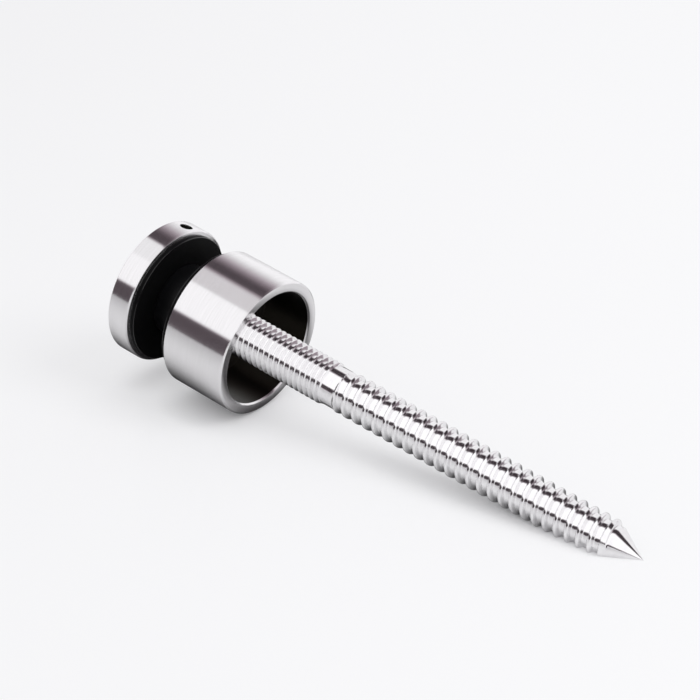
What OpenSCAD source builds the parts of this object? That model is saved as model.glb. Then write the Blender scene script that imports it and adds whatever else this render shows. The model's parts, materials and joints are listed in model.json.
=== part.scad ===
// Glass panel standoff on a hanger bolt for timber.
//
// The axis of every piece is Z. The cap's outer face lies at z = 0, and the bolt's point is at the top.
// From the cap up: cap, cap gasket, sleeve for the hole in the glass, barrel gasket, barrel.
// The hanger bolt runs through the stack: its machine thread holds the cap and the barrel,
// and its coarse thread goes into the timber. All lengths are millimetres, all threads right-handed.

/* [Cap] */
// Diameter of the cap
cap_d = 38; // [32:0.5:60]
// Thickness of the cap's disc
cap_t = 6.7; // [5:0.1:12]
// Thickness of metal left in front of the cap's tapped hole
cap_face_t = 2; // [1.5:0.1:3]
// Diameter of the tapped boss behind the cap
boss_d = 16; // [15:0.25:18]
// Height of the boss above the back of the disc
boss_len = 6; // [4:0.5:9]
// Diameter of the pin hole in the cap's rim
pin_hole_d = 3.5; // [2:0.25:4]
// Depth of the pin hole
pin_hole_depth = 5; // [3:0.5:7]
// Distance of the pin hole's centre from the cap's outer face
pin_hole_z = 4; // [2.5:0.1:4.3]
// Direction of the pin hole, in degrees from X
pin_hole_angle = -60; // [-180:5:180]

/* [Glass clamp] */
// Thickness of the glass, which is the sleeve's length
glass_t = 10; // [8:0.5:20]
// Wall of the sleeve
sleeve_wall = 1.8; // [1:0.1:4]
// Diameter of both gaskets
gasket_d = 35.5; // [28:0.5:38]
// Thickness of each gasket
gasket_t = 1.5; // [1:0.25:3]

/* [Barrel] */
// Outside diameter of the barrel
barrel_d = 38; // [34:0.5:60]
// Length of the barrel
barrel_len = 20; // [14:1:60]
// Wall of the barrel
barrel_wall = 3; // [2:0.25:5]
// Thickness of the tapped web at the barrel's glass end
web_t = 5; // [4:0.5:8]

/* [Hanger bolt] */
// Major diameter of the machine thread
bolt_d = 11.9; // [11.5:0.05:12]
// Pitch of the machine thread
bolt_pitch = 1.75; // [1.5:0.05:2]
// Depth of the machine thread
bolt_depth = 1; // [0.8:0.05:1]
// Length of machine thread that stands out of the barrel
thread_out = 21.8; // [10:0.5:40]
// Gap between the bolt's end and the bottom of the cap's tapped hole
end_gap = 0.5; // [0.3:0.1:1.5]
// Diameter of the plain neck between the two threads
neck_d = 10.8; // [9.5:0.1:11]
// Length of the plain neck
neck_len = 3.7; // [2:0.5:10]
// Crest diameter of the timber thread
lag_d = 11.5; // [11:0.1:11.8]
// Root diameter of the timber thread
lag_root_d = 9.2; // [8:0.1:9.8]
// Pitch of the timber thread
lag_pitch = 3.32; // [3:0.01:5]
// Length of the timber thread with its point
lag_len = 92.5; // [50:0.5:150]
// Angle across the bolt's point
point_angle = 60; // [40:1:80]
// Turn of the machine thread about the bolt, in degrees
bolt_turn = 314; // [0:1:360]
// Turn of the timber thread about the bolt, in degrees
lag_turn = 226; // [0:1:360]

/* [Fits] */
// Radial clearance of the cap and the barrel on the machine thread
thread_fit = 0.05; // [0.02:0.01:0.1]
// Radial clearance of the sleeve and the cap gasket round the boss
boss_fit = 0.2; // [0.15:0.05:0.4]
// Radial clearance of the barrel gasket round the bolt
gasket_fit = 0.35; // [0.3:0.05:1]
// Chamfer on the edges of the metal pieces
edge = 0.4; // [0.2:0.1:0.8]
// Chamfer on the edges of the gaskets and the sleeve
soft_edge = 0.2; // [0.1:0.05:0.3]

/* [Hidden] */
$fn = 96;

steel_color = [0.78, 0.77, 0.78];
rubber_color = [0.06, 0.06, 0.07];
sleeve_color = [0.10, 0.10, 0.11];

// Heights of the faces where one piece meets the next
cap_gasket_z = cap_t;
sleeve_z = cap_gasket_z + gasket_t;
barrel_gasket_z = sleeve_z + glass_t;
barrel_z = barrel_gasket_z + gasket_t;
mouth_z = barrel_z + barrel_len;
neck_z = mouth_z + thread_out;
lag_z = neck_z + neck_len;
tip_z = lag_z + lag_len;
bolt_z = cap_face_t + end_gap;

// How far a cut runs past the face that it opens
past = 1;

tapped_d = bolt_d + 2 * thread_fit;
boss_hole_d = boss_d + 2 * boss_fit;
sleeve_d = boss_hole_d + 2 * sleeve_wall;

// Half of the angle between the flanks of the machine thread
bolt_flank_angle = 30;
// Share of a pitch that the crest of each thread takes
bolt_crest_share = 1 / 8;
lag_crest_share = 0.34;
// Share of a pitch that each flank of the timber thread takes
lag_flank_share = 0.16;
// Straight facets in one turn of a thread
stations = 24;
// How far the end of each thread hides inside the neck, across and along
hidden = 0.15;
// Length over which the timber thread grows out of the neck
lag_runout = 1.2;
// Length of plain point above the end of the timber thread
point_end = 1.5;
// Turns that the machine thread winds past both its ends, to be cut off there
spare_turns = 1.25;

// Outline of a ring's section from (r_in, 0) to (r_out, h), with the given chamfers on its four edges
function ring_section(r_in, r_out, h, c_in, c_out) = [
    [r_in + c_in, 0],
    [r_out - c_out, 0],
    [r_out, c_out],
    [r_out, h - c_out],
    [r_out - c_out, h],
    [r_in + c_in, h],
    [r_in, h - c_in],
    [r_in, c_in]
];

module ring(d_in, d_out, h, chamfer) {
    rotate_extrude()
        polygon(ring_section(d_in / 2, d_out / 2, h, chamfer, chamfer));
}

// Disc with a tapped boss behind it and one radial hole for a pin spanner
module cap() {
    r = cap_d / 2;
    top = cap_t + boss_len;
    color(steel_color)
        difference() {
            rotate_extrude()
                polygon([
                    [0, 0],
                    [r - edge, 0],
                    [r, edge],
                    [r, cap_t - edge],
                    [r - edge, cap_t],
                    [boss_d / 2, cap_t],
                    [boss_d / 2, top - edge],
                    [boss_d / 2 - edge, top],
                    [tapped_d / 2 + edge, top],
                    [tapped_d / 2, top - edge],
                    [tapped_d / 2, cap_face_t],
                    [0, cap_face_t]
                ]);
            rotate([0, 0, pin_hole_angle])
                translate([r - pin_hole_depth, 0, pin_hole_z])
                    rotate([0, 90, 0])
                        cylinder(d = pin_hole_d, h = pin_hole_depth + past);
        }
}

// Rubber ring between the cap and the glass, pushed over the cap's boss
module cap_gasket() {
    color(rubber_color)
        translate([0, 0, cap_gasket_z])
            ring(boss_hole_d, gasket_d, gasket_t, soft_edge);
}

// Plastic sleeve that fills the hole in the glass
module glass_sleeve() {
    color(sleeve_color)
        translate([0, 0, sleeve_z])
            ring(boss_hole_d, sleeve_d, glass_t, soft_edge);
}

// Rubber ring between the glass and the barrel
module barrel_gasket() {
    color(rubber_color)
        translate([0, 0, barrel_gasket_z])
            ring(bolt_d + 2 * gasket_fit, gasket_d, gasket_t, soft_edge);
}

// Cup open towards the timber, with a tapped hole in its web
module barrel() {
    r = barrel_d / 2;
    bore_r = r - barrel_wall;
    hole_r = tapped_d / 2;
    color(steel_color)
        translate([0, 0, barrel_z])
            rotate_extrude()
                polygon([
                    [hole_r + edge, 0],
                    [r - edge, 0],
                    [r, edge],
                    [r, barrel_len - edge],
                    [r - edge, barrel_len],
                    [bore_r + edge, barrel_len],
                    [bore_r, barrel_len - edge],
                    [bore_r, web_t],
                    [hole_r + edge, web_t],
                    [hole_r, web_t - edge],
                    [hole_r, edge]
                ]);
}

// Section of a thread over one pitch, as [radius, height] corners: root, root, crest, crest
function thread_section(pitch, root_r, crest_r, crest_w, flank_w) = [
    [root_r, 0],
    [root_r, pitch - crest_w - 2 * flank_w],
    [crest_r, pitch - crest_w - flank_w],
    [crest_r, pitch - flank_w]
];

// Threaded rod. Its surface is a ribbon of one pitch that winds up from z_from to z_to, and a fan closes
// each end: the upper one comes to a point at z_point. radius_at(z, full_r) is the radius at height z
// of a point whose radius on the full thread is full_r.
module threaded_rod(section, pitch, z_from, z_to, z_point, turn, radius_at) {
    corners = len(section);
    last = floor((z_to - pitch - z_from) / pitch * stations);

    function place(k, i) =
        let (
            z = z_from + pitch * k / stations + section[i][1],
            a = 360 * k / stations + turn,
            r = radius_at(z, section[i][0])
        )
        [r * cos(a), r * sin(a), z];

    // Number of the point at station k and corner i. The last corner is the first one of the turn above.
    function point_at(k, i) =
        i == corners ? point_at(k + stations, 0) :
        k <= last ? k * corners + i :
        (last + 1) * corners + k - last - 1;

    ribbon = [for (k = [0:last]) for (i = [0:corners - 1]) place(k, i)];
    last_turn = [for (k = [1:stations]) place(last + k, 0)];
    bottom = len(ribbon) + stations;
    top = bottom + 1;
    sides = [
        for (k = [0:last - 1]) for (i = [0:corners - 1])
            for (half = [0, 1])
                half == 0 ?
                    [point_at(k, i), point_at(k, i + 1), point_at(k + 1, i + 1)] :
                    [point_at(k, i), point_at(k + 1, i + 1), point_at(k + 1, i)]
    ];
    bottom_fan = concat(
        [for (k = [0:stations - 1]) [point_at(k, 0), point_at(k + 1, 0), bottom]],
        [for (i = [0:corners - 1]) [point_at(0, i + 1), point_at(0, i), bottom]]
    );
    top_fan = concat(
        [for (k = [1:stations]) [point_at(last + k - 1, 0), top, point_at(last + k, 0)]],
        [for (i = [0:corners - 1]) [point_at(last, i), point_at(last, i + 1), top]]
    );
    polyhedron(
        points = concat(ribbon, last_turn, [[0, 0, z_from], [0, 0, z_point]]),
        faces = concat(sides, bottom_fan, top_fan)
    );
}

// Radius of the machine thread at height z, for a point whose radius on the full thread is full_r.
// A chamfer starts it at the bolt's end, and it runs out into the neck.
function machine_radius(z, full_r) =
    let (
        end_r = bolt_d / 2 - 2 * edge,
        neck_r = neck_d / 2 - hidden,
        runout_z = neck_z - 2 * hidden
    )
    min(full_r, end_r + z - bolt_z, neck_r + max(0, runout_z - z));

// Machine thread from the bolt's end to the neck, cut off flat at both ends
module machine_thread() {
    r = bolt_d / 2;
    flank_w = bolt_depth * tan(bolt_flank_angle);
    spare = spare_turns * bolt_pitch;
    top = neck_z + hidden;
    intersection() {
        threaded_rod(
            section = thread_section(bolt_pitch, r - bolt_depth, r, bolt_pitch * bolt_crest_share, flank_w),
            pitch = bolt_pitch,
            z_from = bolt_z - spare,
            z_to = top + spare,
            z_point = top + spare,
            turn = bolt_turn,
            radius_at = function (z, full_r) machine_radius(z, full_r)
        );
        translate([0, 0, bolt_z])
            cylinder(r = r + past, h = top - bolt_z);
    }
}

// Radius of the timber thread at height z, for a point whose radius on the full thread is full_r.
// Its hidden start widens inside the neck, the thread grows out of the neck, and the point cuts it off.
function timber_radius(z, full_r) =
    let (
        neck_r = neck_d / 2 - hidden,
        start_r = neck_r + min(0, z - lag_z) / 2,
        grown = min(1, max(0, (z - lag_z) / lag_runout)),
        point_r = (tip_z - z) * tan(point_angle / 2)
    )
    min(start_r + (full_r - start_r) * grown, point_r);

// Timber thread from inside the neck to the bolt's point
module timber_thread() {
    crest_w = lag_pitch * lag_crest_share;
    flank_w = lag_pitch * lag_flank_share;
    threaded_rod(
        section = thread_section(lag_pitch, lag_root_d / 2, lag_d / 2, crest_w, flank_w),
        pitch = lag_pitch,
        z_from = lag_z - lag_pitch - hidden,
        z_to = tip_z - point_end,
        z_point = tip_z,
        turn = lag_turn,
        radius_at = function (z, full_r) timber_radius(z, full_r)
    );
}

// Rod with a machine thread at one end, a plain neck, and a timber thread with a point at the other end
module hanger_bolt() {
    color(steel_color)
        union() {
            machine_thread();
            translate([0, 0, neck_z - hidden])
                cylinder(d = neck_d, h = neck_len + hidden);
            timber_thread();
        }
}

cap();
cap_gasket();
glass_sleeve();
barrel_gasket();
barrel();
hanger_bolt();
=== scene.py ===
# %% [markdown]
# # Glass panel standoff
#
# This standoff holds a drilled glass panel away from a wooden post. A steel cap and a steel barrel
# clamp the glass between two rubber gaskets, and a plastic sleeve keeps the steel off the edge of
# the hole. Both steel pieces screw onto one rod, the hanger bolt, whose other end is a coarse
# thread with a point that is screwed into the timber.
#
# This file gives them their looks, and reads the sizes it can from the boxes of the CAD pieces.

# %% Load the construction
import json
import math

import bpy
from mathutils import Matrix, Vector


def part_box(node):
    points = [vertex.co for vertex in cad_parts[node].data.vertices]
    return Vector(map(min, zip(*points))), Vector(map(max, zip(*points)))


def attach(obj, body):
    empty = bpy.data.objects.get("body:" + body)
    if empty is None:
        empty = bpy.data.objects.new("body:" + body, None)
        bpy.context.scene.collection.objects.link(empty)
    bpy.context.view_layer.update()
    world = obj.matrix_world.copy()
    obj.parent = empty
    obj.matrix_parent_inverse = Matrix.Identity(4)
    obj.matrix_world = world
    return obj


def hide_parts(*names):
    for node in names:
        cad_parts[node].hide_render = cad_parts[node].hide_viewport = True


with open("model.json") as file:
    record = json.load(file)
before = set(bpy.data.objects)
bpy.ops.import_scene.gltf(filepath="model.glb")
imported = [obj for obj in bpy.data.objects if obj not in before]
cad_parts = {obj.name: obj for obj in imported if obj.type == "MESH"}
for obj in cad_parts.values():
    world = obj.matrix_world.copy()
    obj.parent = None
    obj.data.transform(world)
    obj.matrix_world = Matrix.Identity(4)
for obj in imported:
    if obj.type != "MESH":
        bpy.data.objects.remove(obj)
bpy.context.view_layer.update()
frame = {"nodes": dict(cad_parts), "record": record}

# %% [markdown]
# ## Sizes
#
# Wherever a size can be read from the boxes of the CAD pieces, it is read and not typed again. The
# few that lie inside a box, such as the boss behind the cap and the bore of the barrel, are named
# here. Every piece is round about the Z axis, so a piece is told by its radii and heights.

# %% Sizes from the frame, and the few that its boxes don't show
MM = 0.001
AXIS = Vector((0, 0, 1))

cap_face_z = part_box("cap")[0].z
cap_back_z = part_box("cap_gasket")[0].z
boss_top_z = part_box("cap")[1].z
barrel_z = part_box("barrel")[0].z
mouth_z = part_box("barrel")[1].z
bolt_end_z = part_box("hanger_bolt")[0].z
tip_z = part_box("hanger_bolt")[1].z

cap_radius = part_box("cap")[1].x
gasket_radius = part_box("cap_gasket")[1].x
barrel_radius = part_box("barrel")[1].x
bolt_points = [vertex.co.copy() for vertex in frame["nodes"]["hanger_bolt"].data.vertices]
bolt_radius = max(point.xy.length for point in bolt_points)

boss_radius = 8 * MM
boss_hole_radius = 8.2 * MM
gasket_hole_radius = 6.3 * MM
bore_radius = 16 * MM
web_top_z = barrel_z + 5 * MM
tapped_floor_z = cap_face_z + 2 * MM
chamfer = 0.4 * MM
print(f"stands {(tip_z - cap_face_z) / MM:.1f} mm tall, {2 * cap_radius / MM:.1f} mm across the cap")

# %% [markdown]
# ## The camera and the ground
#
# The CAD frame stands the part on its cap, but on a bench it lies down: the barrel's rim and the
# bolt's point then touch the table. The table is therefore a plane through those two places, and its
# normal is worked out from the barrel's radius and the length of bolt that stands out. The camera's
# horizon is level with that table. It looks down on it, and has a long lens, which keeps the part's
# lines nearly parallel.

# %% The direction that is up when the part lies on a table
standing_out = tip_z - mouth_z
rim_side = Vector((1, -1, 0)).normalized()
up = (rim_side * standing_out - AXIS * barrel_radius).normalized()
tip = AXIS * tip_z
middle = Vector((0, -10.0, 60.2)) * MM
camera_place = Vector((563.40, 57.25, 366.83)) * MM

away = middle - camera_place
away = (away - up * away.dot(up)).normalized()
right = away.cross(up)
print("table normal", [round(part, 3) for part in up])

# %% The camera
camera_data = bpy.data.cameras.new("camera")
camera_data.sensor_width = 36
camera_data.lens = 129.34
camera_data.clip_start = 0.02
camera_data.clip_end = 20
camera = bpy.data.objects.new("camera", camera_data)
bpy.context.scene.collection.objects.link(camera)
looking = (middle - camera_place).normalized()
camera_right = looking.cross(up).normalized()
camera_up = camera_right.cross(looking)
turned_axes = Matrix((camera_right, camera_up, -looking)).transposed().to_4x4()
camera.matrix_world = Matrix.Translation(camera_place) @ turned_axes
bpy.context.scene.camera = camera
bpy.context.scene.view_settings.view_transform = "Standard"
print(f"the camera looks down at {math.degrees(math.asin(-looking.dot(up))):.0f} degrees")

# %% [markdown]
# ## Sums in a shader
#
# A procedural material is a sum of textures, masks and numbers. Wiring each sum by hand takes many
# lines, so this small class wraps one socket and lets Python's own signs add the Math nodes. Any
# other node comes from its `node` method: the node's type, its settings, and what goes into its
# sockets.

# %% A socket that can be added, multiplied and mixed
class Field:
    """A node's output. Sums of fields add Math nodes, and node() adds any other node."""

    def __init__(self, tree, socket=None):
        self.tree = tree
        self.socket = socket

    def node(self, kind, settings=None, inputs=None, output=0):
        """Adds a node, sets it up, fills its sockets with values or fields, and returns an output."""
        node = self.tree.nodes.new(kind)
        for name, value in (settings or {}).items():
            setattr(node, name, value)
        for name, value in (inputs or {}).items():
            if isinstance(value, Field):
                self.tree.links.new(value.socket, node.inputs[name])
            else:
                node.inputs[name].default_value = value
        return Field(self.tree, node.outputs[output])

    def sum(self, operation, first, second=0.0):
        return self.node("ShaderNodeMath", {"operation": operation}, {0: first, 1: second})

    def __add__(self, other):
        return self.sum("ADD", self, other)

    def __sub__(self, other):
        return self.sum("SUBTRACT", self, other)

    def __rsub__(self, other):
        return self.sum("SUBTRACT", other, self)

    def __mul__(self, other):
        return self.sum("MULTIPLY", self, other)

    def __truediv__(self, other):
        return self.sum("DIVIDE", self, other)

    def __pow__(self, other):
        return self.sum("POWER", self, other)

    __radd__ = __add__
    __rmul__ = __mul__

    def ramp(self, low, high, start=0.0, end=1.0):
        """Goes smoothly from start to end as the field goes from low to high."""
        settings = {"interpolation_type": "SMOOTHSTEP", "clamp": True}
        inputs = {"Value": self, "From Min": low, "From Max": high, "To Min": start, "To Max": end}
        return self.node("ShaderNodeMapRange", settings, inputs, "Result")

    def within(self, rise, fall):
        """1 between a soft rise and a soft fall, which are (from, to) values, and 0 outside them."""
        return self.ramp(*rise) * self.ramp(*fall, 1.0, 0.0)

    def blend(self, first, second):
        """The first colour where the field is 0, and the second where it is 1."""
        inputs = {"Factor": self, 6: first, 7: second}
        return self.node("ShaderNodeMix", {"data_type": "RGBA"}, inputs, 2)


# %% [markdown]
# ## The studio
#
# Bare steel has almost no colour of its own: it shows the room. So the room matters as much as the
# steel. Four things are made here, and none of them belongs to the part: a pale table, a white
# background, two soft lamps, and the domes that only reflections see. A lamp is easiest to place in
# the words one would use in the room: so far round from the line of sight, so high, and so far off.

# %% A place in the studio, told by compass and height
stage_centre = AXIS * (tip_z / 2)


def studio_place(compass, height, distance):
    """A point seen from the part: degrees right of the line of sight, degrees up, and metres."""
    turn, rise = math.radians(compass), math.radians(height)
    level = away * math.cos(turn) + right * math.sin(turn)
    return stage_centre + distance * (level * math.cos(rise) + up * math.sin(rise))


print("middle of the studio, in millimetres:", [round(part / MM, 1) for part in stage_centre])

# %% [markdown]
# ### The table
#
# The part lies on a sheet of white board. A flat disc is enough, and it grows clear far from the
# part and from behind, so that neither its edge nor its back shows. The disc rides with the barrel,
# because the barrel's rim is what rests on it, wherever the barrel stands on the bolt.

# %% Lay the table under the rim and the point
TABLE_RADIUS = 1.6
TABLE_SIDES = 96
TABLE_GAP = 0.02 * MM
BEHIND_THE_POINT = 80 * MM
along_table = (AXIS - up * AXIS.dot(up)).normalized()
table_middle = tip - up * TABLE_GAP - along_table * BEHIND_THE_POINT
bpy.ops.mesh.primitive_circle_add(
    vertices=TABLE_SIDES,
    radius=TABLE_RADIUS,
    fill_type="NGON",
    location=table_middle,
    rotation=up.to_track_quat("Z", "Y").to_euler(),
)
table = bpy.context.object
table.name = "table"
table.data.name = "table"
bpy.ops.object.transform_apply(location=True, rotation=True, scale=True)
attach(table, "barrel_seal")
print("the table's middle, in millimetres:", [round(part / MM, 1) for part in table_middle])

# %% [markdown]
# ### The table's white
#
# White board beside steel is both a floor and a mirror image, and the two need different things. To
# the camera most of its colour is even light, as if it were lit from below as well, so that shadows
# stay pale. That share of light is held back where the part is close, which leaves a thin shadow at
# the contact. In reflections the board is dark where the part keeps the light off it, because the
# lower flanks of the steel show just that place. Masks along and across the part say where it is.

# %% The table's white
PALE = (0.94, 0.94, 0.955, 1)
SHADED = (0.02, 0.018, 0.02, 1)
EVEN_SHARE = 0.62
CONTACT_REACH = 10 * MM
SHADE_EVERYWHERE = 0.13
FADE_FROM, FADE_TO = 0.35, 1.2

table_paint = bpy.data.materials.new("table_white")
table_paint.use_nodes = True
table_paint.cycles.emission_sampling = "NONE"
tree = table_paint.node_tree
table_shader = tree.nodes["Principled BSDF"]
table_shader.inputs["Roughness"].default_value = 0.3
table_shader.inputs["Specular IOR Level"].default_value = 0.3

sheet = Field(tree)
where = sheet.node("ShaderNodeTexCoord", output="Object")
across = tuple((away - along_table * away.dot(along_table)).normalized())
dot = {"operation": "DOT_PRODUCT"}
beyond = sheet.node("ShaderNodeVectorMath", dot, {0: where, 1: across}, "Value")
lengthways = sheet.node("ShaderNodeSeparateXYZ", None, {0: where}, "Z")
under_the_head = beyond.within((-26 * MM, -2 * MM), (70 * MM, 140 * MM)) * lengthways.within(
    (cap_face_z - 50 * MM, cap_face_z - 8 * MM), (mouth_z - MM, mouth_z + 8 * MM)
)
under_the_bolt = beyond.within((-6 * MM, MM), (22 * MM, 48 * MM)) * lengthways.within(
    (mouth_z + 2 * MM, mouth_z + 8 * MM), (tip_z - 24 * MM, tip_z - 10 * MM)
)
darkest = sheet.sum("MAXIMUM", under_the_head, under_the_bolt * 0.9)
mirrored = sheet.node("ShaderNodeLightPath", output="Is Glossy Ray")
shade = mirrored * (darkest * (1 - SHADE_EVERYWHERE) + SHADE_EVERYWHERE)
tree.links.new(shade.blend(PALE, SHADED).socket, table_shader.inputs["Base Color"])

in_view = sheet.node("ShaderNodeLightPath", output="Is Camera Ray")
open_sky = sheet.node("ShaderNodeAmbientOcclusion", None, {"Distance": CONTACT_REACH}, "AO")
even = sheet.node("ShaderNodeEmission", None, {"Color": PALE, "Strength": 1.0})
lit = Field(tree, table_shader.outputs[0])
even_share = in_view * open_sky * EVEN_SHARE
softened = sheet.node("ShaderNodeMixShader", None, {0: even_share, 1: lit, 2: even})

distance = {"operation": "DISTANCE"}
from_middle = sheet.node(
    "ShaderNodeVectorMath", distance, {0: where, 1: tuple(table_middle)}, "Value"
)
behind = sheet.node("ShaderNodeNewGeometry", output="Backfacing")
see_through = sheet.sum("MAXIMUM", from_middle.ramp(FADE_FROM, FADE_TO), behind)
clear = sheet.node("ShaderNodeBsdfTransparent")
shown = sheet.node("ShaderNodeMixShader", None, {0: see_through, 1: softened, 2: clear})
tree.links.new(shown.socket, tree.nodes["Material Output"].inputs["Surface"])
table.data.materials.append(table_paint)
print("the table's material has", len(tree.nodes), "nodes")

# %% [markdown]
# ### The background
#
# The background is the world's own colour. The camera and the reflections see the table's white
# there, so that the table fades into it. The light that falls on the part from all round is set
# apart from that, because a room as bright as its walls look would wash out every shadow.

# %% The white background, and the light that comes from all round
ALL_ROUND = 0.7
world = bpy.data.worlds.new("white_room")
bpy.context.scene.world = world
world.use_nodes = True
tree = world.node_tree
sheet = Field(tree)
seen = sheet.node("ShaderNodeLightPath", output="Is Camera Ray")
mirrored = sheet.node("ShaderNodeLightPath", output="Is Glossy Ray")
through = sheet.node("ShaderNodeLightPath", output="Is Transmission Ray")
shows = sheet.sum("MAXIMUM", sheet.sum("MAXIMUM", seen, mirrored), through)
white = (1, 1, 1, 1)
lighting = sheet.node("ShaderNodeBackground", None, {"Color": white, "Strength": ALL_ROUND})
backdrop = sheet.node("ShaderNodeBackground", None, {"Color": PALE, "Strength": 1.0})
room = sheet.node("ShaderNodeMixShader", None, {0: shows, 1: lighting, 2: backdrop})
tree.links.new(room.socket, tree.nodes["World Output"].inputs["Surface"])
print("the light from all round has strength", ALL_ROUND)

# %% [markdown]
# ### The lamps
#
# Two soft lamps give the part its shadow: a strong one on the right, a little towards the camera, and
# a weak one nearly overhead. They are hidden from reflections, because the domes below hold what the
# steel shows.


# %% The lamps
def lamp(name, compass, height, distance, size, brightness):
    """A square lamp that faces the part. Its brightness is that of its own surface."""
    data = bpy.data.lights.new(name, "AREA")
    data.shape = "SQUARE"
    data.size = size
    data.energy = brightness * math.pi * size * size
    light = bpy.data.objects.new(name, data)
    light.location = studio_place(compass, height, distance)
    facing = stage_centre - light.location
    light.rotation_euler = facing.to_track_quat("-Z", "Y").to_euler()
    light.visible_glossy = False
    bpy.context.scene.collection.objects.link(light)
    print(f"{name}: {data.energy:.1f} W, {size} m square")


lamp("lamp_right", compass=115, height=44, distance=1.3, size=0.7, brightness=4.5)
lamp("lamp_top", compass=0, height=80, distance=1.3, size=1.0, brightness=0.4)

# %% [markdown]
# ### The domes
#
# A bright cylinder shows its room as bands that run along it: lamps, and dark gaps between them.
# Here a dome round the part stands for the room, and only reflections see it. On a mirror, the
# direction that the surface faces lies halfway between the way to the eye and the way to the lamp.
# So each place on the dome belongs to one direction that a surface can face, and a band can be
# written where it is wanted: at an angle round the part. `strip` is that angle, and `lean` is how far
# the surface leans towards one of the part's ends, where the chamfers, flats and thread flanks face.
#
# The eye's direction is one fixed direction, the one from which the part is mostly looked at. A dome
# is therefore a thing in the room like any other, and stays where it is when the camera moves.


# %% Brightness in steps
def stepped(field, start, steps):
    """Starts at a brightness, and changes it by each (from, to, change) step as the field grows."""
    brightness = start
    for low, high, change in steps:
        brightness = field.ramp(low, high, 0.0, change) + brightness
    return brightness


# %% The angles round and along the part that each place on a dome belongs to
DEGREE = math.pi / 180


def strip_and_lean(sheet):
    """Which way a surface faces that shows a place on the dome: degrees round, and towards an end."""
    where = sheet.node("ShaderNodeTexCoord", output="Object")
    subtract = {"operation": "SUBTRACT"}
    outward = sheet.node("ShaderNodeVectorMath", subtract, {0: where, 1: tuple(stage_centre)})
    outward = sheet.node("ShaderNodeVectorMath", {"operation": "NORMALIZE"}, {0: outward})
    facing = sheet.node("ShaderNodeVectorMath", subtract, {0: outward, 1: tuple(looking)})
    x = sheet.node("ShaderNodeSeparateXYZ", None, {0: facing}, "X")
    y = sheet.node("ShaderNodeSeparateXYZ", None, {0: facing}, "Y")
    z = sheet.node("ShaderNodeSeparateXYZ", None, {0: facing}, "Z")
    from_axis = (x * x + y * y) ** 0.5
    strip = sheet.sum("ARCTAN2", y, x) / DEGREE
    lean = sheet.sum("ABSOLUTE", sheet.sum("ARCTAN2", z, from_axis)) / DEGREE
    return strip, lean


# %% Make a dome
DIM_TINT = (1.0, 0.80, 0.91, 1)
LIT_TINT = (1.0, 0.995, 1.01, 1)


def dome(name, radius, start, steps, ends, end_start, end_steps=(), see_through=True):
    """A dome lit in steps round the part, with other steps for what leans past the ends' angles."""
    bpy.ops.mesh.primitive_uv_sphere_add(
        segments=64, ring_count=32, radius=radius, location=stage_centre
    )
    shell = bpy.context.object
    shell.name = name
    shell.data.name = name
    bpy.ops.object.transform_apply(location=True)
    shell.visible_camera = False
    shell.visible_diffuse = False
    shell.visible_transmission = False
    shell.visible_shadow = False

    paint = bpy.data.materials.new(name)
    paint.use_nodes = True
    paint.cycles.emission_sampling = "NONE"
    tree = paint.node_tree
    sheet = Field(tree)
    strip, lean = strip_and_lean(sheet)
    past_the_ends = lean.ramp(*ends)
    brightness = stepped(strip, start, steps) * (1 - past_the_ends)
    brightness = brightness + stepped(strip, end_start, end_steps) * past_the_ends
    tint = brightness.ramp(0.0, 1.0).blend(DIM_TINT, LIT_TINT)
    light = sheet.node("ShaderNodeEmission", None, {"Color": tint, "Strength": brightness})
    if see_through:
        clear = sheet.node("ShaderNodeBsdfTransparent")
        light = sheet.node("ShaderNodeAddShader", None, {0: light, 1: clear})
    tree.links.new(light.socket, tree.nodes["Material Output"].inputs["Surface"])
    shell.data.materials.append(paint)
    print(f"{name}: {len(steps)} steps of brightness, {radius} m from the part")
    return shell


# %% [markdown]
# The bands lie at other angles on the barrel, the cap and the bolt, as they can where lamps stand close
# by. So each of them has a dome of its own, one inside the other, and the inner two are clear, so
# that the other pieces see through them. Read each list as the room from one side to the other: a
# wide light, a dark gap, the main light, a second dark gap, and the dimmer light that is left.

# %% The three domes
head_steps = [
    (-58, -32.5, -1.01),
    (-29, -23, 0.68),
    (-11.5, -8.5, 0.38),
    (14, 17, -1.05),
    (22, 29, 0.02),
    (29, 31, 0.38),
    (33, 45, 0.07),
]
cap_steps = [
    (-57, -30.5, -1.01),
    (-25.5, -22.5, 0.91),
    (-8.5, -5.5, 0.14),
    (15.3, 17.7, -1.04),
    (30, 32, 0.4),
    (34, 45, 0.08),
]
bolt_steps = [
    (-43, -38, -0.9),
    (-26, -20, 1.1),
    (16, 19, -1.09),
    (27, 30, 0.42),
]
head_dome = dome(
    "dome_for_the_barrel",
    radius=4.0,
    start=1.1,
    steps=head_steps,
    ends=(45, 65),
    end_start=0.9,
    see_through=False,
)
bolt_dome = dome(
    "dome_for_the_bolt",
    radius=3.5,
    start=0.95,
    steps=bolt_steps,
    ends=(35, 60),
    end_start=0.2,
    end_steps=[(-40, -25, 0.65)],
)
cap_dome = dome(
    "dome_for_the_cap",
    radius=3.0,
    start=1.1,
    steps=cap_steps,
    ends=(45, 65),
    end_start=0.9,
)


# %% [markdown]
# ## Tools for turned pieces
#
# All the steel and rubber pieces are turned or moulded round one axis. The natural way to make such
# a shape is the lathe's way: draw half of its section as a wire, round the wire's corners a little,
# and spin it about the axis. The wire starts as a small plane that is merged to one vertex, and each
# further corner is that vertex extruded to its next place. Where the wire meets the axis, the spin
# leaves many vertices on one spot, so doubles are merged before the normals are turned outwards.
# Drills and other cutters are turned in the same way, and a Boolean modifier cuts with them.

# %% Draw a wire and spin it
SIDES = 192
WELD = 0.0002 * MM


def select_only(piece):
    """Makes the piece the one that operators act on."""
    bpy.ops.object.select_all(action="DESELECT")
    piece.select_set(True)
    bpy.context.view_layer.objects.active = piece


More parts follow.
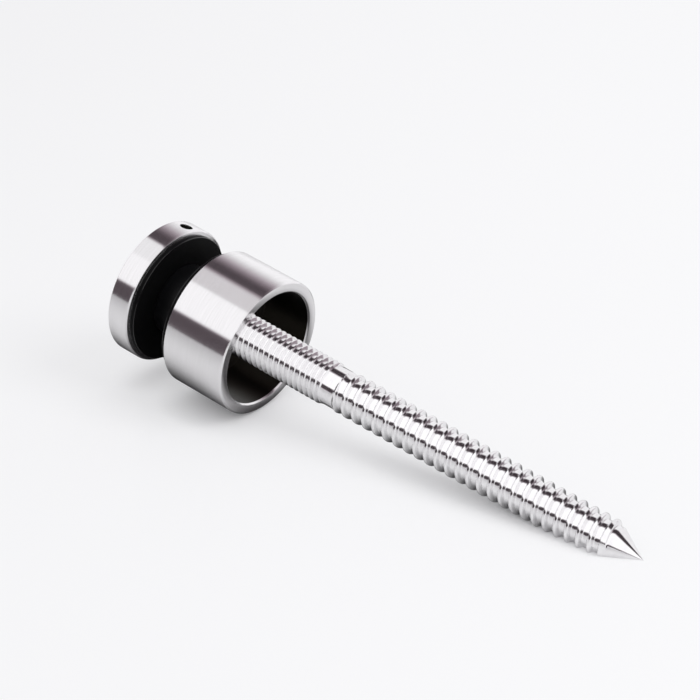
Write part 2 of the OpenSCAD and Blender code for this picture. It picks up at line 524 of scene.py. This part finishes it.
def draw_wire(name, corners):
    """Draws a wire through (radius, height) corners by extruding one vertex, and stays in edit mode."""
    bpy.ops.object.select_all(action="DESELECT")
    bpy.ops.mesh.primitive_plane_add(size=MM)
    piece = bpy.context.object
    piece.name = name
    piece.data.name = name
    bpy.ops.object.mode_set(mode="EDIT")
    bpy.ops.mesh.merge(type="CENTER")
    bpy.ops.transform.translate(value=(corners[0][0], 0, corners[0][1]))
    for (radius, height), (next_radius, next_height) in zip(corners, corners[1:]):
        move = {"value": (next_radius - radius, 0, next_height - height)}
        bpy.ops.mesh.extrude_vertices_move(TRANSFORM_OT_translate=move)
    return piece


def close_up():
    """Merges doubles and turns the normals outwards, in edit mode."""
    bpy.ops.mesh.select_all(action="SELECT")
    bpy.ops.mesh.remove_doubles(threshold=WELD)
    bpy.ops.mesh.select_all(action="SELECT")
    bpy.ops.mesh.normals_make_consistent(inside=False)


def turned(name, corners, rounding=0.0, sides=SIDES):
    """A turned solid: a wire through (radius, height) corners, rounded and spun once about Z."""
    piece = draw_wire(name, corners)
    bpy.ops.mesh.select_all(action="SELECT")
    bpy.ops.mesh.remove_doubles(threshold=WELD)
    if rounding:
        bpy.ops.mesh.select_all(action="SELECT")
        bpy.ops.mesh.bevel(offset=rounding, segments=2, affect="VERTICES")
    bpy.ops.mesh.select_all(action="SELECT")
    bpy.ops.mesh.spin(steps=sides, angle=2 * math.pi, center=(0, 0, 0), axis=AXIS)
    close_up()
    bpy.ops.object.mode_set(mode="OBJECT")
    return piece


def combine(piece, tool, operation):
    """Joins, cuts or limits a piece with a tool, and throws the tool away."""
    select_only(piece)
    boolean = piece.modifiers.new(operation.lower(), "BOOLEAN")
    boolean.operation = operation
    boolean.object = tool
    boolean.solver = "EXACT"
    bpy.ops.object.modifier_apply(modifier=boolean.name)
    bpy.data.objects.remove(tool)


def soften(piece, degrees=30):
    """Shades the piece smooth, apart from its real edges."""
    select_only(piece)
    bpy.ops.object.shade_smooth_by_angle(angle=math.radians(degrees))
    print(piece.name, len(piece.data.polygons), "faces")


# %% [markdown]
# ## Tools for threads
#
# A screw thread is one outline, a pitch tall, that climbs one pitch each turn. The Screw modifier
# does just that: it winds the wire about Z and stacks turn on turn, and the end of one turn meets
# the start of the next. What it leaves is an open sleeve with ragged ends, so both ends are cut off
# square and filled. The thread is wound longer than needed, and a turned limit then gives it its
# ends: a chamfer, a run-out or a point. Rounding the outline's corners before it is wound gives
# the soft crests and roots of a rolled thread.

# %% Wind a thread
STEPS = 72
CUT_EXACTLY = 0.00001 * MM


def thread(name, pitch, root, crest, crest_flat, root_flat, low, high, start, rounding=0.0):
    """A threaded rod from low to high. On the +X side, a crest's middle is at the height start."""
    flank = (pitch - crest_flat - root_flat) / 2
    turns = math.ceil((high - low) / pitch) + 3
    wind_from = start - pitch / 2 - pitch * math.ceil((start - low) / pitch + 1)
    heights = [0, root_flat / 2, flank, crest_flat, flank, root_flat / 2]
    radii = [root, root, crest, crest, root, root]
    corners, height = [], wind_from
    for step, radius in zip(heights, radii):
        height += step
        corners.append((radius, height))
    piece = draw_wire(name, corners)
    bpy.ops.mesh.select_all(action="SELECT")
    if rounding:
        bpy.ops.mesh.bevel(offset=rounding, segments=3, affect="VERTICES")
    bpy.ops.object.mode_set(mode="OBJECT")
    wind = piece.modifiers.new("wind", "SCREW")
    wind.angle = 2 * math.pi
    wind.screw_offset = pitch
    wind.iterations = turns
    wind.steps = STEPS
    wind.render_steps = STEPS
    bpy.ops.object.modifier_apply(modifier="wind")
    bpy.ops.object.mode_set(mode="EDIT")
    close_up()
    for cut, side in ((low, "clear_inner"), (high, "clear_outer")):
        bpy.ops.mesh.select_all(action="SELECT")
        plane = {"plane_co": (0, 0, cut), "plane_no": AXIS, side: True}
        bpy.ops.mesh.bisect(use_fill=True, threshold=CUT_EXACTLY, **plane)
    close_up()
    bpy.ops.object.mode_set(mode="OBJECT")
    return piece


# %% [markdown]
# ## The machine thread
#
# The cap and the barrel run on a standard 12 mm machine thread: 1.75 mm pitch, flanks at 60 degrees
# and flattened crests. The tapped holes are cut with a tap, which is the same thread made a little
# fatter all round. Because both follow one helix, the threads stay in mesh when a piece is
# screwed along the bolt.

# %% Where the thread stands on the bolt
neck_z = mouth_z + 21.8 * MM
neck_top_z = neck_z + 3.7 * MM
machine_pitch = 1.75 * MM
thread_depth = 1.0 * MM
machine_root = bolt_radius - thread_depth
tap_clearance = 0.08 * MM
ON_THE_CREST = 0.01 * MM


def crest_start(pitch, crest, low, high):
    """The height of a crest's middle on the +X side of the CAD bolt, within a pitch."""
    cosines, sines = 0.0, 0.0
    for point in bolt_points:
        if low < point.z < high and abs(point.xy.length - crest) < ON_THE_CREST:
            phase = 2 * math.pi * point.z / pitch - math.atan2(point.y, point.x)
            cosines += math.cos(phase)
            sines += math.sin(phase)
    start = math.atan2(sines, cosines) / (2 * math.pi) * pitch
    print(f"crest at {start / MM:.2f} mm on the +X side, within a pitch of {pitch / MM:.2f} mm")
    return start


machine_start = crest_start(machine_pitch, bolt_radius, mouth_z, neck_z - MM)


# %% The 12 mm thread, and the tap that fits it
def machine_thread(name, low, high, clearance=0.0, rounding=0.0):
    """The 12 mm thread between two heights, with an even clearance for a tap."""
    crest_flat = machine_pitch / 8
    flank = thread_depth * math.tan(math.radians(30))
    return thread(
        name,
        machine_pitch,
        root=machine_root + clearance,
        crest=bolt_radius + clearance,
        crest_flat=crest_flat,
        root_flat=machine_pitch - crest_flat - 2 * flank,
        low=low,
        high=high,
        start=machine_start,
        rounding=rounding,
    )


def tap(piece, low, high):
    """Cuts a tapped hole with a countersunk mouth at both ends."""
    minor = machine_root + tap_clearance
    major = bolt_radius + tap_clearance
    sink = major - minor + chamfer
    drill_corners = [
        (0, low - sink),
        (major + chamfer + sink, low - sink),
        (minor, low + sink - chamfer),
        (minor, high - sink + chamfer),
        (major + chamfer + sink, high + sink),
        (0, high + sink),
    ]
    combine(piece, turned("drill", drill_corners, sides=STEPS), "DIFFERENCE")
    combine(piece, machine_thread("tap", low - MM, high + MM, tap_clearance), "DIFFERENCE")


# %% [markdown]
# ## The cap
#
# The cap is turned from bar: a disc with a boss behind it. Its outer edges are broken by a small
# chamfer, which catches the light as a thin line. The boss is tapped for the bolt: a blind hole is
# drilled and countersunk first, and the tap follows.

# %% Turn the cap
edge_rounding = 0.06 * MM
cap_corners = [
    (0, cap_face_z),
    (cap_radius - chamfer, cap_face_z),
    (cap_radius, cap_face_z + chamfer),
    (cap_radius, cap_back_z - chamfer),
    (cap_radius - chamfer, cap_back_z),
    (boss_radius, cap_back_z),
    (boss_radius, boss_top_z - chamfer),
    (boss_radius - chamfer, boss_top_z),
    (0, boss_top_z),
]
cap = turned("turned_cap", cap_corners, rounding=edge_rounding)

# %% Drill and tap its boss
boss_sink = 1.4 * MM
over_boss_z = boss_top_z + MM
blind_hole_corners = [
    (0, tapped_floor_z),
    (machine_root, tapped_floor_z),
    (machine_root, boss_top_z - boss_sink),
    (bolt_radius + boss_sink, over_boss_z),
    (0, over_boss_z),
]
combine(cap, turned("blind_hole", blind_hole_corners, sides=STEPS), "DIFFERENCE")
boss_tap = machine_thread("tap", tapped_floor_z + MM, over_boss_z, tap_clearance)
combine(cap, boss_tap, "DIFFERENCE")

# %% [markdown]
# One hole is drilled into the rim of the cap, for the pin that tightens it. Its place, direction and
# size are stated in the record as a mount, so they are read from there. The drill is a cylinder that
# starts past the rim and ends at the hole's floor.

# %% Drill the pin hole
pin_mount = next(m for m in frame["record"]["mounts"] if m["name"] == "pin_hole")
pin_out = Vector(pin_mount["axis"]).normalized()
pin_radius = pin_mount["dims"]["r_mm"] * MM
pin_depth = pin_mount["dims"]["length_mm"] * MM
pin_height = pin_mount["pos_m"][2]
drill_length = pin_depth + MM
drill_middle = pin_out * (cap_radius - pin_depth + drill_length / 2) + AXIS * pin_height
bpy.ops.object.select_all(action="DESELECT")
bpy.ops.mesh.primitive_cylinder_add(
    vertices=64,
    radius=pin_radius,
    depth=drill_length,
    location=drill_middle,
    rotation=pin_out.to_track_quat("Z", "Y").to_euler(),
)
drill = bpy.context.object
bpy.ops.object.transform_apply(location=True, rotation=True)
combine(cap, drill, "DIFFERENCE")
soften(cap)

# %% [markdown]
# ## The barrel
#
# The barrel spaces the glass away from the post. It is a cup: open towards the timber, with a
# 5 mm web at the glass end that is tapped for the bolt.

# %% Turn the barrel and tap its web
barrel_corners = [
    (0, barrel_z),
    (barrel_radius - chamfer, barrel_z),
    (barrel_radius, barrel_z + chamfer),
    (barrel_radius, mouth_z - chamfer),
    (barrel_radius - chamfer, mouth_z),
    (bore_radius + chamfer, mouth_z),
    (bore_radius, mouth_z - chamfer),
    (bore_radius, web_top_z),
    (0, web_top_z),
]
barrel = turned("turned_barrel", barrel_corners, rounding=edge_rounding)
tap(barrel, barrel_z, web_top_z)
soften(barrel)


# %% [markdown]
# ## The gaskets and the sleeve
#
# The rubber gaskets are moulded flat rings, so all their edges are softly rounded. The sleeve is a
# plastic tube that fills the hole in the glass and rides on the cap's boss.

# %% Mould the rings
def ring(name, node, hole_radius, rounding):
    """A moulded ring that fills a CAD node's box round a hole."""
    low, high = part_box(node)
    inner, outer = hole_radius, high.x
    corners = [(inner, low.z), (outer, low.z), (outer, high.z), (inner, high.z), (inner, low.z)]
    piece = turned(name, corners, rounding)
    soften(piece)
    return piece


cap_gasket = ring("cap_side_gasket", "cap_gasket", boss_hole_radius, 0.3 * MM)
barrel_gasket = ring("barrel_side_gasket", "barrel_gasket", gasket_hole_radius, 0.3 * MM)
sleeve = ring("sleeve_in_the_glass", "glass_sleeve", boss_hole_radius, 0.2 * MM)

# %% [markdown]
# ## The hanger bolt
#
# The bolt is one rod with two rolled threads and a plain neck between them. The coarse timber
# thread has to start at the same turn as in the construction, so its phase is measured on the CAD
# piece: each crest vertex tells how far its height is from a thread that starts at zero, and the
# mean of those, taken round a circle, is the phase.

# %% Measure the timber thread
hair = 0.1 * MM
timber_pitch = 3.32 * MM
timber_crest = 5.75 * MM
timber_root = 4.6 * MM
timber_runout = 1.2 * MM
neck_radius = 5.4 * MM
point_slope = math.tan(math.radians(30))
cone_z = tip_z - timber_crest / point_slope
timber_start = crest_start(timber_pitch, timber_crest, neck_top_z + timber_pitch, cone_z)

# %% [markdown]
# The timber thread is coarse, with broad roots that leave room for the wood. Its crests and roots
# are well rounded, so it looks like a laid rope rather than a saw. The point is ground after the
# thread is rolled, so the thread simply ends where the cone cuts it.

# %% Wind the timber thread and grind its point
timber_rod = thread(
    "timber_thread",
    timber_pitch,
    timber_root,
    timber_crest,
    crest_flat=0.22 * timber_pitch,
    root_flat=0.42 * timber_pitch,
    low=neck_z + MM,
    high=tip_z + MM,
    start=timber_start,
    rounding=0.28 * MM,
)
over_crest = timber_crest + hair
apex_radius = 0.2 * MM
timber_limit = turned(
    "timber_thread_limit",
    [
        (0, neck_z + 2 * MM),
        (neck_radius - hair, neck_z + 2 * MM),
        (neck_radius - hair, neck_top_z),
        (over_crest, neck_top_z + timber_runout),
        (over_crest, tip_z - over_crest / point_slope),
        (apex_radius, tip_z - apex_radius / point_slope),
        (0, tip_z),
    ],
)
combine(timber_rod, timber_limit, "INTERSECT")

# %% [markdown]
# The machine thread has a chamfer at its free end, so that it starts easily, and runs out into the
# neck at the other. Its limit is a hair wider than the crests and has a cone at each end, which cuts
# them away there.

# %% Wind the machine thread
over_thread = bolt_radius + hair
end_chamfer = 0.8 * MM
machine_rod = machine_thread("machine_rod", bolt_end_z - MM, neck_z + 2 * MM, rounding=0.1 * MM)
machine_limit = turned(
    "machine_thread_limit",
    [
        (0, bolt_end_z),
        (bolt_radius - end_chamfer, bolt_end_z),
        (over_thread, bolt_end_z + end_chamfer),
        (over_thread, neck_z - 0.8 * MM),
        (machine_root, neck_z + 0.3 * MM),
        (0, neck_z + 0.3 * MM),
    ],
)
combine(machine_rod, machine_limit, "INTERSECT")

# %% [markdown]
# The neck is the plain stretch where neither thread was rolled. It slopes down to just under the
# roots of both threads, so that their ends rise out of it, and the three are joined to one solid.

# %% Join the two threads with the neck
inside_the_neck_z = neck_top_z + timber_runout + 0.2 * MM
neck = turned(
    "neck",
    [
        (0, neck_z - 1.6 * MM),
        (machine_root - 0.2 * MM, neck_z - 1.6 * MM),
        (neck_radius, neck_z - 0.2 * MM),
        (neck_radius, neck_top_z),
        (timber_root - hair, inside_the_neck_z),
        (0, inside_the_neck_z),
    ],
)
bolt = timber_rod
bolt.name = "threaded_hanger_bolt"
bolt.data.name = "threaded_hanger_bolt"
combine(bolt, neck, "UNION")
combine(bolt, machine_rod, "UNION")
soften(bolt)


# %% [markdown]
# ## Materials
#
# Each finish starts from the Principled shader with its constant values set on its own sockets, and
# only what varies over the surface is linked. All patterns are placed by Object coordinates, which
# move with the piece.


# %% Start a material
def finish(name, values):
    """A material whose Principled shader has these values, with a field to build on."""
    material = bpy.data.materials.new(name)
    material.use_nodes = True
    shader = material.node_tree.nodes["Principled BSDF"]
    for socket, value in values.items():
        shader.inputs[socket].default_value = value
    return material, shader, Field(material.node_tree)


def feed(shader, socket, field):
    """Links a field to one of the shader's sockets."""
    field.tree.links.new(field.socket, shader.inputs[socket])


def raise_by(shader, height, strength, depth):
    """Lets a field raise the surface by up to a depth, in the way that the light falls on it."""
    inputs = {"Strength": strength, "Distance": depth, "Height": height}
    feed(shader, "Normal", height.node("ShaderNodeBump", None, inputs, "Normal"))


# %% Where a point of a turned piece is
def place(sheet):
    """A point's x, y and z, and how far out from the axis it is."""
    where = sheet.node("ShaderNodeTexCoord", output="Object")
    x = sheet.node("ShaderNodeSeparateXYZ", None, {0: where}, "X")
    y = sheet.node("ShaderNodeSeparateXYZ", None, {0: where}, "Y")
    z = sheet.node("ShaderNodeSeparateXYZ", None, {0: where}, "Z")
    return x, y, z, (x * x + y * y) ** 0.5


def round_streaks(sheet, across_scale, along_scale, detail=2.0):
    """Noise in streaks that run round the Z axis: long round it, and fine along and outwards."""
    x, y, z, out = place(sheet)
    streaks = {0: x * across_scale, 1: y * across_scale, 2: (z + out) * along_scale}
    vector = sheet.node("ShaderNodeCombineXYZ", None, streaks)
    noise = {"Vector": vector, "Scale": 1.0, "Detail": detail}
    return sheet.node("ShaderNodeTexNoise", None, noise)


# %% [markdown]
# ### Brushed stainless steel
#
# The cap and the barrel were brushed while they turned, so fine scratches run round them. Such
# scratches smear a reflection along the axis but leave it sharp round the piece: that is why the
# bands on a brushed cylinder have hard edges. The shader's anisotropy does the smearing, turned a
# quarter so that it runs along the axis, and a streaked bump and roughness show the single
# scratches.

# %% Brushed stainless steel
BRUSHED = {
    "Metallic": 1.0,
    "Anisotropic": 0.97,
    "Anisotropic Rotation": 0.25,
}
DARK_STEEL = (0.775, 0.765, 0.77, 1)
LIGHT_STEEL = (0.825, 0.815, 0.825, 1)
# Painted shade: the nearly black colour of the bore and the pin hole.
HOLLOW_PAINTED_SHADE = (0.018, 0.016, 0.013, 1)
brushed, shader, sheet = finish("brushed_stainless", BRUSHED)
scratches = round_streaks(sheet, 60, 2200)
hairlines = round_streaks(sheet, 160, 7000)
grain = scratches * 0.5 + hairlines * 0.5
steel = grain.ramp(0.3, 0.7).blend(DARK_STEEL, LIGHT_STEEL)
raise_by(shader, grain, 0.12, 0.003 * MM)
print("brushed steel reflects from", DARK_STEEL[:3], "to", LIGHT_STEEL[:3])

# %% [markdown]
# The brush never reached the barrel's bore or the pin hole, so they are rougher. Their colour is also
# painted nearly black: painted shade, for the little light that finds its way out of them. The barrel's
# mouth was faced with a finer cut, so it is a little smoother than its side. Masks made of radius and
# height tell these places.

# %% The hollows and the mouth
x, y, z, out = place(sheet)
inside_the_wall = out.ramp(bore_radius + 0.05 * MM, bore_radius + 0.1 * MM, 1.0, 0.0)
in_bore = inside_the_wall * z.within(
    (web_top_z - 0.1 * MM, web_top_z - 0.05 * MM), (mouth_z - chamfer - 0.1 * MM, mouth_z - chamfer)
)
under_the_rim = out.ramp(cap_radius - 0.3 * MM, cap_radius - 0.2 * MM, 1.0, 0.0)
in_hole = under_the_rim * z.within(
    (cap_face_z + MM, cap_face_z + 1.2 * MM), (cap_back_z - 0.7 * MM, cap_back_z - 0.6 * MM)
)
hollow_shade_and_roughness = sheet.sum("MAXIMUM", in_bore, in_hole)
faced = z.ramp(mouth_z - 0.04 * MM, mouth_z - 0.02 * MM)
# Painted shade: the bore and the pin hole are coloured nearly black, and they are rougher as well.
feed(shader, "Base Color", hollow_shade_and_roughness.blend(steel, HOLLOW_PAINTED_SHADE))
feed(shader, "Roughness", 0.165 + grain * 0.05 + hollow_shade_and_roughness * 0.25 - faced * 0.07)
print("hollow: inside", round(bore_radius / MM, 1), "mm in the barrel, and the pin hole in the cap")

# %% [markdown]
# ### Bright rolled steel
#
# The bolt's threads are pressed into the rod between hard dies and not cut, and that leaves the steel
# smooth and bright. It is shinier than the brushed pieces and mirrors sharply in every direction, so
# it has no anisotropy. Faint streaks round the bolt are what the dies left.

# %% Bright rolled steel
BRIGHT = {"Metallic": 1.0}
DULLER = (0.85, 0.84, 0.85, 1)
BRIGHTER = (0.92, 0.915, 0.92, 1)
bright, shader, sheet = finish("bright_stainless", BRIGHT)
rolled = round_streaks(sheet, 500, 1500, 3.0)
feed(shader, "Base Color", rolled.ramp(0.25, 0.75).blend(DULLER, BRIGHTER))
feed(shader, "Roughness", 0.08 + rolled * 0.08)
raise_by(shader, rolled, 0.15, 0.006 * MM)
print("rolled steel reflects from", DULLER[:3], "to", BRIGHTER[:3])

# %% [markdown]
# ### Black rubber
#
# The gaskets are moulded from black rubber, which scatters nearly nothing and has a dull, faintly
# cloudy skin. Only the rounded edge is shiny and shows one thin bright line, so a clear coat lies on
# that edge alone.

# %% Black rubber
RUBBER = {"Specular IOR Level": 0.05, "Coat Roughness": 0.1}
rubber, shader, sheet = finish("black_rubber", RUBBER)
where = sheet.node("ShaderNodeTexCoord", output="Object")
bloom = sheet.node("ShaderNodeTexNoise", None, {"Vector": where, "Scale": 900.0, "Detail": 3.0})
feed(shader, "Base Color", bloom.blend((0.002, 0.002, 0.002, 1), (0.006, 0.006, 0.0065, 1)))
feed(shader, "Roughness", 0.38 + bloom * 0.16)
raise_by(shader, bloom, 0.3, 0.01 * MM)
x, y, z, out = place(sheet)
edge_from = (gasket_radius - 0.3 * MM, gasket_radius - 0.22 * MM)
edge_to = (gasket_radius - 0.06 * MM, gasket_radius - 0.02 * MM)
feed(shader, "Coat Weight", out.within(edge_from, edge_to))
print("the rubber's shiny edge ends", round(gasket_radius / MM, 2), "mm from the axis")

# %% [markdown]
# ### Black plastic
#
# The sleeve is turned from black plastic. It is a little shinier than the rubber, and fine marks of
# the tool run round it.

# %% Black plastic
PLASTIC = {"Specular IOR Level": 0.2}
plastic, shader, sheet = finish("black_plastic", PLASTIC)
marks = round_streaks(sheet, 80, 900)
feed(shader, "Base Color", marks.blend((0.002, 0.002, 0.0025, 1), (0.006, 0.006, 0.007, 1)))
feed(shader, "Roughness", 0.32 + marks * 0.14)
raise_by(shader, marks, 0.2, 0.01 * MM)
print("materials:", brushed.name, bright.name, rubber.name, plastic.name)

# %% [markdown]
# ## Dress the frame
#
# Each finished piece takes the place of its CAD node, gets its material, and rides on that node's
# body.

# %% Dress the frame
dressed = [
    (cap, "cap", "cap", "brushed_stainless", brushed),
    (barrel, "barrel", "barrel", "brushed_stainless", brushed),
    (cap_gasket, "cap_gasket", "cap_seals", "black_rubber", rubber),
    (sleeve, "glass_sleeve", "cap_seals", "black_sleeve", plastic),
    (barrel_gasket, "barrel_gasket", "barrel_seal", "black_rubber", rubber),
    (bolt, "hanger_bolt", "bolt", "bright_stainless", bright),
]
for piece, node, body, slot, material in dressed:
    piece.data.materials.clear()
    piece.data.materials.append(material)
    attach(piece, body)
    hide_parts(node)
    triangles = sum(len(face.vertices) - 2 for face in piece.data.polygons)
    print(f"{piece.name} stands for {node}: {triangles} triangles")

# %% [markdown]
# ## Which piece sees which dome
#
# Light linking says which pieces a dome lights: its receivers. The rings and the table see the room
# that the barrel sees. The barrel itself is left out of reflections, because its dark bore would
# turn the bright first turns of the bolt black.

# %% Share out the domes
shares = [
    (head_dome, [barrel, cap_gasket, barrel_gasket, sleeve, table]),
    (bolt_dome, [bolt]),
    (cap_dome, [cap]),
]
for shell, receivers in shares:
    lit_pieces = bpy.data.collections.new(shell.name)
    for piece in receivers:
        lit_pieces.objects.link(piece)
    shell.light_linking.receiver_collection = lit_pieces
    print(shell.name, "is seen by", [piece.name for piece in receivers])
barrel.visible_glossy = False
